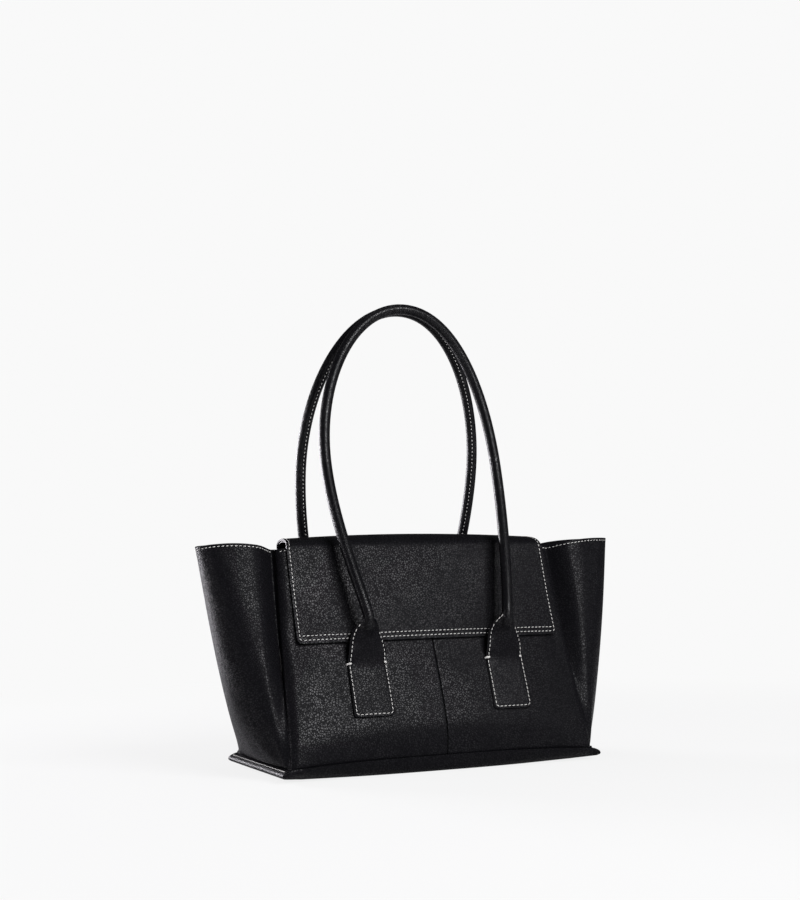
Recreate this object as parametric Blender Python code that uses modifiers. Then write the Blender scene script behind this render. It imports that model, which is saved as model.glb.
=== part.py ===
"""Flap tote bag: a winged leather tote with a tucked front flap and two rolled handles.

Metres, +Z up. The bag stands on Z = 0, its front faces -Y, and X = 0 is its centre seam.
"""
import math

import bmesh
import bpy
from mathutils import Matrix, Vector
from mathutils.geometry import interpolate_bezier

# Body: the panels lean together from the base to the mouth, and each gusset is one strip
BASE_LENGTH = 0.320
BASE_DEPTH = 0.177
BASE_HEIGHT = 0.0125
MOUTH_HEIGHT = 0.2185
MOUTH_LENGTH = 0.301
MOUTH_DEPTH = 0.0454
WING_RISE = 0.004
WING_ARCH = 0.004
WING_FOLD_TOP = 0.31
WING_FOLD_BASE = 0.98
WING_FOLD_EASE = 0.82
WING_WAIST = 0.056
WING_SWEEP_TOP = 0.005
WING_SWEEP_BASE = 0.029
PANEL_WALL = 0.0024
LINING_WALL = 0.0008
FACING_WALL = 0.0014
FACING_DEPTH = 0.030
CLEARANCE = 0.0003
SEAM_TRIM = 0.0004

# Base: a shallow leather tray with a lip at each end, filled by a pad and a board
BASE_LIP = 0.009
BASE_LIP_THICKNESS = 0.009
BASE_SIDE_TUCK = 0.030
BASE_END_TUCK = 0.014
BASE_CORNER = 0.006
BASE_FOOT_CORNER = 0.030
BASE_WALL = 0.0024
BOARD_THICKNESS = 0.002

# Flap
FLAP_WIDTH = 0.282
FLAP_DROP = 0.098
FLAP_BEND_SHARE = 0.5
FLAP_CROWN = 0.0115
FLAP_CORNER = 0.008
FLAP_LEATHER = 0.0018
FLAP_LINING_INSET = 0.0015
FLAP_STRIP_DEPTH = 0.028

# Tabs, necks and rolled handles
TAB_SPACING = 0.148
TAB_WIDTH = 0.042
TAB_LENGTH = 0.0535
TAB_CORNER = 0.004
TAB_THICKNESS = 0.003
TAB_TOP_DROP = 0.1133
NECK_LENGTH = 0.0335
NECK_LEAN = math.radians(18)
NECK_TOP_WIDTH = 0.014
HANDLE_DIAMETER = 0.011
SLEEVE_WALL = 0.0012

# The handles lean on each other at their tops, a little behind the middle of the bag
HANDLE_HEIGHT = 0.472
HANDLE_MEETING_Y = 0.0058
HANDLE_WIDEST_HEIGHT = 0.305
FRONT_HANDLE_SPREAD = 0.1896
FRONT_HANDLE_WIDEST_Y = -0.0163
FRONT_HANDLE_SLOPE = 0.268
BACK_HANDLE_SPREAD = 0.197
BACK_HANDLE_WIDEST_Y = 0.0477
BACK_HANDLE_SLOPE = 0.201
ROOT_PULL = 0.012
WIDEST_PULL_DOWN = 0.073
WIDEST_PULL_UP = 0.0815
APEX_PULL = 0.058

# Facets
WALL_LEVELS = 8
FACING_LEVELS = 3
WING_STEPS = 11
WING_CROWDING = 1.6
HANDLE_SPAN_STEPS = 9
NECK_RINGS = 7
NECK_SIDES = 20
SLEEVE_SIDES = 12
CORE_SIDES = 8
CORNER_STEPS = 5
ARCH_STEPS = 14
TRAY_LEVELS = (0.0, 0.05, 0.15, 0.35, 0.6)

FRONT = -1
BACK = 1
WALL_BOTTOM = BASE_HEIGHT + CLEARANCE
WALL_RISE = MOUTH_HEIGHT - WALL_BOTTOM
LEAN = math.atan2((BASE_DEPTH - MOUTH_DEPTH) / 2, WALL_RISE)
LINING_OFFSET = PANEL_WALL + CLEARANCE
FACING_SHARE = 1 - FACING_DEPTH / WALL_RISE
FLAP_STACK = CLEARANCE + LINING_WALL + CLEARANCE + FLAP_LEATHER
HINGE_HEIGHT = MOUTH_HEIGHT + CLEARANCE
TAB_TOP_HEIGHT = MOUTH_HEIGHT - TAB_TOP_DROP

LEATHER = ((0.012, 0.012, 0.013), 0.45)
LINING = ((0.05, 0.047, 0.045), 0.85)
FELT = ((0.16, 0.15, 0.14), 0.95)
FIBREBOARD = ((0.22, 0.17, 0.12), 0.8)
CORD = ((0.55, 0.5, 0.42), 0.9)

bag_parts = bpy.data.collections.new("flap_tote_bag")
joint_axes = {}


def clear_scene():
    for item in list(bpy.data.objects):
        bpy.data.objects.remove(item, do_unlink=True)
    bpy.context.scene.collection.children.link(bag_parts)


def mix(low, high, share):
    return low + (high - low) * share


def finish_node(item, finish, axis=None):
    """Give a node its material, link it and hang it from the empty on its joint's axis."""
    colour, roughness = finish
    material = bpy.data.materials.new(item.name)
    material.use_nodes = True
    shader = material.node_tree.nodes["Principled BSDF"]
    shader.inputs["Base Color"].default_value = (*colour, 1)
    shader.inputs["Roughness"].default_value = roughness
    shader.inputs["Metallic"].default_value = 0
    item.data.materials.append(material)
    bag_parts.objects.link(item)
    if axis:
        hang_from(item, axis)
    return item


def hang_from(item, axis):
    item.parent = joint_axes[axis]
    item.matrix_parent_inverse = Matrix.Translation(-Vector(joint_axes[axis]["place"]))


def add_axis(name, place, parent=None):
    """An empty on a joint's axis, which runs along X through it."""
    empty = bpy.data.objects.new(name, None)
    empty.empty_display_size = 0.02
    empty.location = place
    empty["place"] = tuple(place)
    bag_parts.objects.link(empty)
    joint_axes[name] = empty
    if parent:
        hang_from(empty, parent)


def solid_from_sections(name, sections, first_cap, last_cap):
    """Join closed sections of equal point counts, and close both ends with the faces given.

    The cells of a section's second half are cut along the other diagonal. Both sides of a wall
    then bend along the same lines, as do the layers nested inside it, and stay apart.
    """
    mesh = bmesh.new()
    rings = [[mesh.verts.new(point) for point in section] for section in sections]
    count = len(rings[0])
    for low, high in zip(rings, rings[1:]):
        if low[0].co.z > high[0].co.z:
            low, high = high, low
        for index in range(count):
            here, there = index, (index + 1) % count
            if index >= count // 2:
                here, there = there, here
            mesh.faces.new((low[here], low[there], high[there]))
            mesh.faces.new((low[here], high[there], high[here]))
    for ring, cap in ((rings[0], first_cap), (rings[-1], last_cap)):
        for corners in cap(count):
            mesh.faces.new([ring[index] for index in corners])
    bmesh.ops.recalc_face_normals(mesh, faces=mesh.faces)
    data = bpy.data.meshes.new(name)
    mesh.to_mesh(data)
    mesh.free()
    return bpy.data.objects.new(name, data)


def whole_cap(count):
    return [range(count)]


def strip_cap(count):
    """Quads across a section whose second half runs back beside its first half."""
    return [(i, i + 1, count - 2 - i, count - 1 - i) for i in range(count // 2 - 1)]


# Plan of the walls at a share of their height, 0 at the base and 1 at the mouth

def half_length(share):
    return mix(BASE_LENGTH, MOUTH_LENGTH, share) / 2


def half_depth(share):
    return mix(BASE_DEPTH, MOUTH_DEPTH, share) / 2


def half_depth_at(height):
    return BASE_DEPTH / 2 - (height - WALL_BOTTOM) * math.tan(LEAN)


def wall_height(share, wing_share):
    """Height of a wall point: the mouth edge rises and arches towards the tip of a wing."""
    top = MOUTH_HEIGHT + WING_RISE * wing_share + WING_ARCH * math.sin(math.pi * wing_share)
    return mix(WALL_BOTTOM, top, share)


def strip_half(share):
    """Half the gusset strip's width: the depth of the base, a little less at mid height."""
    return BASE_DEPTH / 2 * (1 - WING_WAIST * math.sin(math.pi * share))


def wing_fold(share):
    """Share of the strip that bends: nearly all of it at the base, only the tip at the mouth."""
    return mix(WING_FOLD_TOP, WING_FOLD_BASE, (1 - share) ** WING_FOLD_EASE)


def wing_angle(share):
    """Angle at which the gusset strip leaves the corner, so that its folded halves meet."""
    leg = (1 - wing_fold(share)) * strip_half(share)
    arc = wing_fold(share) * strip_half(share)
    low, high = 0.0001, math.pi * 0.6
    for _ in range(50):
        middle = (low + high) / 2
        reach = leg * math.cos(middle) + arc * math.sin(middle) / middle
        if reach > half_depth(share):
            low = middle
        else:
            high = middle
    return low


def wing_half(share, offset, trim):
    """Plan of the right wing from its front corner to its tip, moved inwards by offset.

    Each point is its x, its y before the sweep, and its share of the way to the tip.
    """
    angle = wing_angle(share)
    fold = wing_fold(share)
    radius = fold * strip_half(share) / angle
    corner_x = half_length(share)
    corner_y = -half_depth(share)
    start_x = corner_x - offset * math.cos(angle) / (1 + math.sin(angle)) + trim * math.sin(angle)
    points = [(start_x, corner_y + offset + trim * math.cos(angle), 0)]
    for step in range(1, WING_STEPS + 1):
        wing_share = 1 - (1 - step / WING_STEPS) ** WING_CROWDING
        heading = angle * min(1, (1 - wing_share) / fold)
        straight = min(wing_share, 1 - fold) * strip_half(share)
        x = corner_x + straight * math.sin(angle) + radius * (math.cos(heading) - math.cos(angle))
        y = corner_y + straight * math.cos(angle) + radius * (math.sin(angle) - math.sin(heading))
        points.append((x - offset * math.cos(heading), y + offset * math.sin(heading), wing_share))
    return points


def wing_line(side, share, offset, trim):
    """The whole gusset line of one side from front corner to back corner, its tip swept forwards."""
    front = wing_half(share, offset, trim)
    back = [(x, -y, wing_share) for x, y, wing_share in reversed(front[:-1])]
    sweep = mix(WING_SWEEP_BASE, WING_SWEEP_TOP, share)
    return [Vector((side * x, y - sweep * wing_share, wall_height(share, wing_share)))
            for x, y, wing_share in front + back]


def panel_line(face, left, right, share, offset):
    """A front or back wall line between two ends, each -1, 0 or 1 across the bag."""
    angle = wing_angle(share)
    corner = half_length(share) - offset * math.cos(angle) / (1 + math.sin(angle)) - SEAM_TRIM
    ends = {-1: -corner, 0: 0, 1: corner}
    low = ends[left] if left else SEAM_TRIM
    high = ends[right] if right else -SEAM_TRIM
    y = face * (half_depth(share) - offset)
    return [Vector((x, y, wall_height(share, 0))) for x in (low, high)]


def shares(low, high, count):
    return [mix(low, high, step / (count - 1)) for step in range(count)]


LOWER_LEVELS = shares(0, FACING_SHARE, WALL_LEVELS)
FACING_SHARES = shares(FACING_SHARE, 1, FACING_LEVELS)


def wall_solid(name, line, levels, outer, inner, finish):
    """A wall of one thickness between two offsets of the same line, lofted up its levels."""
    sections = [line(share, outer) + line(share, inner)[::-1] for share in levels]
    return finish_node(solid_from_sections(name, sections, strip_cap, strip_cap), finish)


def build_walls():
    levels = LOWER_LEVELS + FACING_SHARES[1:]
    spans = {"front_panel_left": (FRONT, -1, 0), "front_panel_right": (FRONT, 0, 1),
             "back_panel": (BACK, -1, 1)}
    for name, (face, left, right) in spans.items():
        wall_solid(name, lambda s, o, f=face, l=left, r=right: panel_line(f, l, r, s, o),
                   levels, 0, PANEL_WALL, LEATHER)
    for name, side in (("gusset_left", -1), ("gusset_right", 1)):
        wall_solid(name, lambda s, o, d=side: wing_line(d, s, o, SEAM_TRIM),
                   levels, 0, PANEL_WALL, LEATHER)


def build_facings():
    """The leather band inside the mouth, which the lining hangs from."""
    levels = FACING_SHARES
    inner = LINING_OFFSET + FACING_WALL
    for name, face in (("mouth_facing_front", FRONT), ("mouth_facing_back", BACK)):
        wall_solid(name, lambda s, o, f=face: panel_line(f, -1, 1, s, o),
                   levels, LINING_OFFSET, inner, LEATHER)
    for name, side in (("mouth_facing_left", -1), ("mouth_facing_right", 1)):
        wall_solid(name, lambda s, o, d=side: wing_line(d, s, o, SEAM_TRIM),
                   levels, LINING_OFFSET, inner, LEATHER)


def build_lining():
    """One sewn vessel: an outer and an inner skin round the bag, and a floor."""
    top = FACING_SHARE - CLEARANCE / WALL_RISE

    def ring(share, offset):
        right = wing_line(1, share, offset, 0)
        left = wing_line(-1, share, offset, 0)
        return right + left[::-1]

    inner = LINING_OFFSET + LINING_WALL
    outer_skin = [ring(share, LINING_OFFSET) for share in LOWER_LEVELS[:-1] + [top]]
    floor = LINING_WALL / WALL_RISE
    inner_skin = [ring(share, inner) for share in [floor] + LOWER_LEVELS[1:-1] + [top]][::-1]
    lining = solid_from_sections("lining", outer_skin + inner_skin, strip_cap, strip_cap)
    finish_node(lining, LINING)


# Base

def rounded_rectangle(half_x, half_y, radius, height):
    points = []
    corners = ((1, 1, 0), (-1, 1, 90), (-1, -1, 180), (1, -1, 270))
    for sign_x, sign_y, start in corners:
        for step in range(CORNER_STEPS + 1):
            angle = math.radians(start + 90 * step / CORNER_STEPS)
            x = sign_x * (half_x - radius) + radius * math.cos(angle)
            y = sign_y * (half_y - radius) + radius * math.sin(angle)
            points.append(Vector((x, y, height)))
    return points


def tray_section(height, inset, at_height, lip=0.0):
    """The tray's outline at a height, drawn in by inset, as a section at another height."""
    tuck = 1 - math.sqrt(1 - (1 - height / BASE_HEIGHT) ** 2)
    half_x = BASE_LENGTH / 2 - BASE_END_TUCK * tuck - inset + lip
    half_y = BASE_DEPTH / 2 - BASE_SIDE_TUCK * tuck - inset
    radius = mix(BASE_CORNER, BASE_FOOT_CORNER, tuck) - inset
    return rounded_rectangle(half_x, half_y, radius, at_height)


def build_base():
    lip_bottom = BASE_HEIGHT - BASE_LIP_THICKNESS
    lip_start = lip_bottom + CLEARANCE
    levels = [BASE_HEIGHT * share for share in TRAY_LEVELS] + [BASE_HEIGHT]
    foot_levels = [level for level in levels if level < lip_bottom] + [lip_bottom]
    lip_levels = [lip_start] + [level for level in levels if level > lip_start]
    outer = [tray_section(level, 0, level) for level in foot_levels]
    outer += [tray_section(level, 0, level, BASE_LIP) for level in lip_levels]
    depth = BASE_HEIGHT - BASE_WALL
    cavity_levels = [depth * share for share in TRAY_LEVELS] + [depth]
    cavity = [tray_section(level, BASE_WALL, level + BASE_WALL) for level in cavity_levels]
    tray = solid_from_sections("base_panel", outer + cavity[::-1], whole_cap, whole_cap)
    finish_node(tray, LEATHER)

    board_bottom = BASE_HEIGHT - BOARD_THICKNESS
    pad_inset = BASE_WALL + CLEARANCE
    pad_levels = [level for level in cavity_levels[1:] if level + BASE_WALL < board_bottom - CLEARANCE]
    pad = [tray_section(0, pad_inset, BASE_WALL + CLEARANCE)]
    pad += [tray_section(level, pad_inset, level + BASE_WALL) for level in pad_levels]
    pad_top = board_bottom - CLEARANCE
    pad.append(tray_section(pad_levels[-1], pad_inset, pad_top))
    finish_node(solid_from_sections("base_pad", pad, whole_cap, whole_cap), FELT)
    board = [tray_section(pad_levels[-1], pad_inset, height) for height in (board_bottom, BASE_HEIGHT)]
    finish_node(solid_from_sections("base_board", board, whole_cap, whole_cap), FIBREBOARD)


# Flat pieces on the leaning panels

def panel_normal(face):
    return Vector((0, face * math.cos(LEAN), math.sin(LEAN)))


def panel_point(face, x, height, standoff):
    """The point this far out from the panel's face, from its point at a height."""
    return Vector((x, face * half_depth_at(height), height)) + panel_normal(face) * standoff


def flat_piece(name, outline, thickness, finish, axis=None):
    """A flat 2D outline, extruded to a thickness about its own plane."""
    curve = bpy.data.curves.new(name, "CURVE")
    curve.dimensions = "2D"
    curve.fill_mode = "BOTH"
    curve.extrude = thickness / 2
    spline = curve.splines.new("POLY")
    spline.points.add(len(outline) - 1)
    for point, (x, y) in zip(spline.points, outline):
        point.co = (x, y, 0, 1)
    spline.use_cyclic_u = True
    return finish_node(bpy.data.objects.new(name, curve), finish, axis)


def lay_on_panel(item, face, x, top_height, inner_face, thickness):
    """Lay a flat piece on a panel, its local +Y up the slope and its origin at its top edge."""
    item.location = panel_point(face, x, top_height, inner_face + thickness / 2)
    item.rotation_euler = (math.pi / 2 - LEAN, 0, 0 if face == FRONT else math.pi)


def hanging_outline(width, length, radius):
    """A rectangle below the origin whose two lower corners are round."""
    points = [(width / 2, 0), (-width / 2, 0)]
    for side, start in ((-1, 180), (1, 270)):
        for step in range(CORNER_STEPS + 1):
            angle = math.radians(start + 90 * step / CORNER_STEPS)
            x = side * (width / 2 - radius) + radius * math.cos(angle)
            points.append((x, radius - length + radius * math.sin(angle)))
    return points


# Flap

def flap_line(standoff):
    """Side view of the flap at a standoff: from the hinge over the mouth, down to the bend."""
    mouth_half = half_depth_at(HINGE_HEIGHT)
    back_y = mouth_half + standoff
    front_y = -mouth_half - standoff / math.cos(LEAN)
    rise = FLAP_CROWN - (FLAP_STACK - standoff)
    points = []
    for step in range(ARCH_STEPS + 1):
        angle = math.pi * step / ARCH_STEPS
        y = (back_y + front_y) / 2 + (back_y - front_y) / 2 * math.cos(angle)
        points.append((y, HINGE_HEIGHT + rise * math.sin(angle)))
    bend = panel_point(FRONT, 0, bend_height(0), standoff)
    points.append((bend.y, bend.z))
    return points


def bend_height(distance):
    """Height on the panel's face, this far below the bend along the slope."""
    return HINGE_HEIGHT - math.cos(LEAN) * (FLAP_DROP * FLAP_BEND_SHARE + distance)


def flap_upper_piece(name, inner, outer, width, finish):
    outline = flap_line(outer) + flap_line(inner)[::-1]
    item = flat_piece(name, outline, width, finish, "flap_lift_axis")
    item.rotation_euler = (math.pi / 2, 0, math.pi / 2)


def flap_lower_piece(name, inner, outer, width, shorter, finish):
    length = FLAP_DROP * (1 - FLAP_BEND_SHARE) - CLEARANCE - shorter
    radius = FLAP_CORNER - shorter
    item = flat_piece(name, hanging_outline(width, length, radius), outer - inner, finish,
                      "flap_bend_axis")
    lay_on_panel(item, FRONT, 0, bend_height(CLEARANCE), inner, outer - inner)


def build_flap():
    add_axis("flap_lift_axis", (0, half_depth_at(HINGE_HEIGHT) + FLAP_STACK, HINGE_HEIGHT))
    add_axis("flap_bend_axis", panel_point(FRONT, 0, bend_height(0), CLEARANCE), "flap_lift_axis")
    leather = (FLAP_STACK - FLAP_LEATHER, FLAP_STACK)
    lining = (CLEARANCE, CLEARANCE + LINING_WALL)
    lining_width = FLAP_WIDTH - 2 * FLAP_LINING_INSET
    flap_upper_piece("flap_upper", *leather, FLAP_WIDTH, LEATHER)
    flap_upper_piece("flap_upper_lining", *lining, lining_width, LINING)
    flap_lower_piece("flap_lower", *leather, FLAP_WIDTH, 0, LEATHER)
    flap_lower_piece("flap_lower_lining", *lining, lining_width, FLAP_LINING_INSET, LINING)

    strip_thickness = FLAP_STACK - CLEARANCE
    outline = hanging_outline(FLAP_WIDTH, FLAP_STRIP_DEPTH, FLAP_CORNER)
    strip = flat_piece("flap_back_strip", outline, strip_thickness, LEATHER)
    top = HINGE_HEIGHT - CLEARANCE - FLAP_STACK * math.sin(LEAN)
    lay_on_panel(strip, BACK, 0, top, CLEARANCE, strip_thickness)


# Tabs, necks and handles

def neck_up(face):
    return Vector((0, face * math.sin(NECK_LEAN), math.cos(NECK_LEAN)))


def neck_out(face):
    return Vector((0, face * math.cos(NECK_LEAN), -math.sin(NECK_LEAN)))


def neck_pivot(face):
    """The neck bends about the outer edge of the tab's top, just above the bar tacks."""
    tab_edge = panel_point(face, 0, TAB_TOP_HEIGHT, CLEARANCE + TAB_THICKNESS)
    return tab_edge + neck_up(face) * CLEARANCE


def neck_base(face, x):
    return neck_pivot(face) - neck_out(face) * TAB_THICKNESS / 2 + Vector((x, 0, 0))


def signed_power(value, power):
    return math.copysign(abs(value) ** power, value)


def neck_section(face, x, share):
    """A flat strip at the tab that draws in and rounds out to the rolled handle."""
    ease = share * share * (3 - 2 * share)
    half_width = mix(TAB_WIDTH, NECK_TOP_WIDTH, ease) / 2
    half_thickness = mix(TAB_THICKNESS, HANDLE_DIAMETER, ease) / 2
    power = mix(0.25, 1, ease)
    centre = neck_base(face, x) + neck_up(face) * NECK_LENGTH * share
    points = []
    for side in range(NECK_SIDES):
        angle = 2 * math.pi * (side + 0.5) / NECK_SIDES
        across = signed_power(math.cos(angle), power) * half_width
        through = signed_power(math.sin(angle), power) * half_thickness
        points.append(centre + Vector((across, 0, 0)) + neck_out(face) * through)
    return points


def handle_centreline(face, spread, widest_y, slope):
    """One rolled handle from its left root over the top to its right root."""
    root = neck_base(face, TAB_SPACING / 2) + neck_up(face) * (NECK_LENGTH + CLEARANCE)
    leaving = root + neck_up(face) * HANDLE_DIAMETER / 2
    widest = Vector((spread / 2, widest_y, HANDLE_WIDEST_HEIGHT))
    rising = Vector((0, -face * slope, 1))
    apex_y = HANDLE_MEETING_Y + face * (HANDLE_DIAMETER + CLEARANCE) / 2
    apex = Vector((0, apex_y, HANDLE_HEIGHT - HANDLE_DIAMETER / 2))
    count = HANDLE_SPAN_STEPS + 1
    lower = interpolate_bezier(leaving, leaving + neck_up(face) * ROOT_PULL,
                               widest - rising * WIDEST_PULL_DOWN, widest, count)
    upper = interpolate_bezier(widest, widest + rising * WIDEST_PULL_UP,
                               apex + Vector((APEX_PULL, 0, 0)), apex, count)
    right = [root] + lower + upper[1:]
    left = [Vector((-p.x, p.y, p.z)) for p in right[:-1]]
    return left + right[::-1]


def tube(name, points, radius, sides, capped, finish, axis):
    curve = bpy.data.curves.new(name, "CURVE")
    curve.dimensions = "3D"
    curve.bevel_depth = radius
    curve.bevel_resolution = sides // 2 - 2
    curve.use_fill_caps = capped
    spline = curve.splines.new("POLY")
    spline.points.add(len(points) - 1)
    for point, place in zip(spline.points, points):
        point.co = (*place, 1)
        point.radius = 1
    return finish_node(bpy.data.objects.new(name, curve), finish, axis)


def build_handle(name, face, spread, widest_y, slope):
    neck_axis = name + "_neck_axis"
    loop_axis = name + "_loop_axis"
    add_axis(neck_axis, neck_pivot(face))
    loop_place = neck_base(face, 0) + neck_up(face) * (NECK_LENGTH + CLEARANCE)
    add_axis(loop_axis, loop_place + neck_out(face) * HANDLE_DIAMETER / 2, neck_axis)
    for side_name, side in (("left", -1), ("right", 1)):
        x = side * TAB_SPACING / 2
        outline = hanging_outline(TAB_WIDTH, TAB_LENGTH, TAB_CORNER)
        tab = flat_piece(f"{name}_tab_{side_name}", outline, TAB_THICKNESS, LEATHER)
        lay_on_panel(tab, face, x, TAB_TOP_HEIGHT, CLEARANCE, TAB_THICKNESS)
        rings = [neck_section(face, x, ring / (NECK_RINGS - 1)) for ring in range(NECK_RINGS)]
        neck = solid_from_sections(f"{name}_neck_{side_name}", rings, whole_cap, whole_cap)
        finish_node(neck, LEATHER, neck_axis)
    line = handle_centreline(face, spread, widest_y, slope)
    radius = HANDLE_DIAMETER / 2
    sleeve = tube(name + "_sleeve", line, radius, SLEEVE_SIDES, False, LEATHER, loop_axis)
    wall = sleeve.modifiers.new("wall", "SOLIDIFY")
    wall.thickness = SLEEVE_WALL
    wall.offset = -1
    core_radius = radius - SLEEVE_WALL - CLEARANCE
    tube(name + "_core", line, core_radius, CORE_SIDES, True, CORD, loop_axis)


clear_scene()
build_base()
build_walls()
build_facings()
build_lining()
build_flap()
build_handle("front_handle", FRONT, FRONT_HANDLE_SPREAD, FRONT_HANDLE_WIDEST_Y, FRONT_HANDLE_SLOPE)
build_handle("back_handle", BACK, BACK_HANDLE_SPREAD, BACK_HANDLE_WIDEST_Y, BACK_HANDLE_SLOPE)
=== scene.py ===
"""Flap tote bag in black pebbled leather with off-white stitching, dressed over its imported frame.

Metres, +Z up, the same frame as the CAD: the front faces -Y and the bag stands on Z = 0.
"""

import math
from functools import lru_cache

import bmesh
import bpy
from mathutils import Matrix, Vector
from mathutils.geometry import interpolate_bezier


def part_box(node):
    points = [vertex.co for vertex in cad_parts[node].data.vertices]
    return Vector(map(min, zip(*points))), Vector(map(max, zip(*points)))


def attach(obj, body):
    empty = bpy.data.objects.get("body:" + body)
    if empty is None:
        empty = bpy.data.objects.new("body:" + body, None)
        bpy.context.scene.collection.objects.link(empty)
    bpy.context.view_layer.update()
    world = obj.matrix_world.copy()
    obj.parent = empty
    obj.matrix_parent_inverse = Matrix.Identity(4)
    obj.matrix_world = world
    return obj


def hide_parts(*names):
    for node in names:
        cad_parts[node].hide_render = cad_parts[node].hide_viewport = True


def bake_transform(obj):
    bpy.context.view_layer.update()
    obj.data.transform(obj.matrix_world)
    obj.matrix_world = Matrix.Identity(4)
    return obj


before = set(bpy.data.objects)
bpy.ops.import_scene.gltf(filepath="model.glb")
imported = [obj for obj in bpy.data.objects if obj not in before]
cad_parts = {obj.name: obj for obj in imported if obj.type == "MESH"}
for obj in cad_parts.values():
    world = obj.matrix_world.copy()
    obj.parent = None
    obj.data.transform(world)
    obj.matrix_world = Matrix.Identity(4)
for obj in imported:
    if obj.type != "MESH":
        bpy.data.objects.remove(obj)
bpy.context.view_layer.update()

# Sizes shared with the part's source
BASE_LENGTH = 0.320
BASE_DEPTH = 0.177
WALL_BOTTOM = 0.0128
MOUTH_HEIGHT = 0.2185
MOUTH_LENGTH = 0.301
MOUTH_DEPTH = 0.0454
WING_RISE = 0.004
WING_ARCH = 0.004
WING_FOLD_TOP = 0.31
WING_FOLD_BASE = 0.98
WING_FOLD_EASE = 0.82
WING_WAIST = 0.056
WING_SWEEP_TOP = 0.005
WING_SWEEP_BASE = 0.029
FACING_DEPTH = 0.030
FLAP_WIDTH = 0.282
FLAP_DROP = 0.098
FLAP_STACK = 0.0032
FLAP_STRIP_DEPTH = 0.028
TAB_SPACING = 0.148
TAB_WIDTH = 0.042
TAB_LENGTH = 0.0535
TAB_CORNER = 0.004
TAB_THICKNESS = 0.003
TAB_TOP_HEIGHT = 0.1052
NECK_LENGTH = 0.0335
NECK_LEAN = math.radians(18)
HANDLE_DIAMETER = 0.011
HANDLE_HEIGHT = 0.472
HANDLE_MEETING_Y = 0.0058
HANDLE_WIDEST_HEIGHT = 0.305
WIDEST = {-1: (0.1896, -0.0163, 0.268), 1: (0.197, 0.0477, 0.201)}
ROOT_PULL = 0.012
WIDEST_PULL_DOWN = 0.073
WIDEST_PULL_UP = 0.0815
APEX_PULL = 0.058
CLEARANCE = 0.0003

# The flap, straps, necks and cords as they are dressed here
FLAP_CORNER = 0.005
FLAP_TAPER = 0.007
FLAP_CREST = 0.0125
FLAP_SAG = 0.0042
FLAP_LIFT = 0.0009
ROLL_START = 0.044
BEND_BELOW = 0.012
BEND_ABOVE = 0.011
STRAP_TAPER = 0.0013
STRAP_CURVE = 2.17
STRAP_CURL = 0.75
SEAM_STRIP = 0.0009
RING_COUNT = 64
ROOT_RINGS = 4
ROLL_DIP = 0.0005
CORD_RADIUS = 0.0031
CORD_LOBE = 0.0006
CORD_TWIST = 260
BEND_BELOW_MOUTH = 0.003
BEND_UP_ARCH = 0.22
NECK_BEND = (-0.001, 0.008)
ROOT_BEND = 0.020
FINE_RINGS_FROM = -0.006
SEAM_TURN = (0.05, 0.5)
CORD_SIDES = 24

# Leather as it is sewn
WALL = 0.0026
FACING_WALL = 0.0013
LINING_WALL = 0.0007
FLAP_LEATHER = 0.0019
FLAP_LINING_WALL = 0.0009
FLAP_LINING_INSET = 0.0012
BASE_WALL = 0.0020
SEAM_DEPTH = 0.0068
SEAM_ROUND = 0.0105
MIDDLE_SEAM_DEPTH = 0.0008
MIDDLE_SEAM_ROUND = 0.0020
BOTTOM_SEAM_DEPTH = 0.0036
BOTTOM_SEAM_ROUND = 0.0045
GROOVE_WIDTH = 0.021
GROOVE_SINK = 0.0081
GROOVE_EDGE = 0.0014
GROOVE_REACH = 0.0115
BELLY = 0.0062
BELLY_SHARE = 0.2
BELLY_SPREAD = 0.36
BELLY_AT_CORNERS = 0.5
BOTTOM_TUCK = 0.0135
BOTTOM_TUCK_CURVE = 2.2
BOTTOM_BOW = 0.0035
WALL_ROUNDING = 0.0045
WING_LEAN = 0.0024
WING_BOW = 0.0075
WING_BOW_PLACE = 0.68
DENT_DEPTH = 0.0016
DENT_LOW_X = 0.1365
DENT_HIGH_X = 0.1500
DENT_LOW = 0.105
DENT_RISE = 0.07
DENT_MIDDLE = 0.132
DENT_HALF_WIDTH = 0.0055
DENT_HALF_HEIGHT = 0.020
DENT_SWELLING = 0.0009
SWELLING_X = 0.130
SWELLING_HEIGHT = 0.098
SWELLING_REACH = 0.013
FOLD_DEPTH = 0.0011
FOLD_SWELLING = 0.0006
STIFFER_SIDE = 0.6
LINING_SLACK = 0.0011
LINING_WING_STEPS = 44
LINING_WALL_STEPS = 30
LINING_RINGS = 27
FOOT_END = 0.022
FOOT_CORNER = 0.036
FOOT_SIDE = 0.0165
SIDE_PIPING = 0.0019

# Thread
STITCH_PITCH = 0.0042
STITCH_LENGTH = 0.0027
THREAD_WIDTH = 0.00068
STITCH_SLANT = 0.10
STITCH_LIFT = 0.00015
STITCH_HEIGHT = 0.36
STRAP_STITCH_LENGTH = 0.0031
LIP_STITCH_LENGTH = 0.0031
LIP_THREAD_WIDTH = 0.0009
WING_ROW_FROM = 0.012
LIP_ROW_REACH = 0.0052
LIP_ROW_HEIGHT = 0.0108
LIP_ROW_HALF = 0.0815
HANDLE_STITCH_PITCH = 0.0041
HANDLE_STITCH_LENGTH = 0.0019
HANDLE_THREAD_WIDTH = 0.0007
EDGE_MARGIN = 0.0027
STRAP_MARGIN = 0.0024
ROW_MARGINS = (0.0021, 0.0007)
SHORT_ROW_REACH = 0.029
LEFT_ROW_TOP = 0.038
STRAP_ROW_LIFT = 0.0014
STRAP_ROW_TILT = 0.6
STITCH_CORNER = 0.003
FLAP_STITCH_CORNER = 0.0022
FLAP_ROW_MARGIN = 0.0033
FLAP_ROW_SPACING = 0.0044
FLAP_STRIP_ROW = -0.022
TACK_DROP = 0.0008
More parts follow.
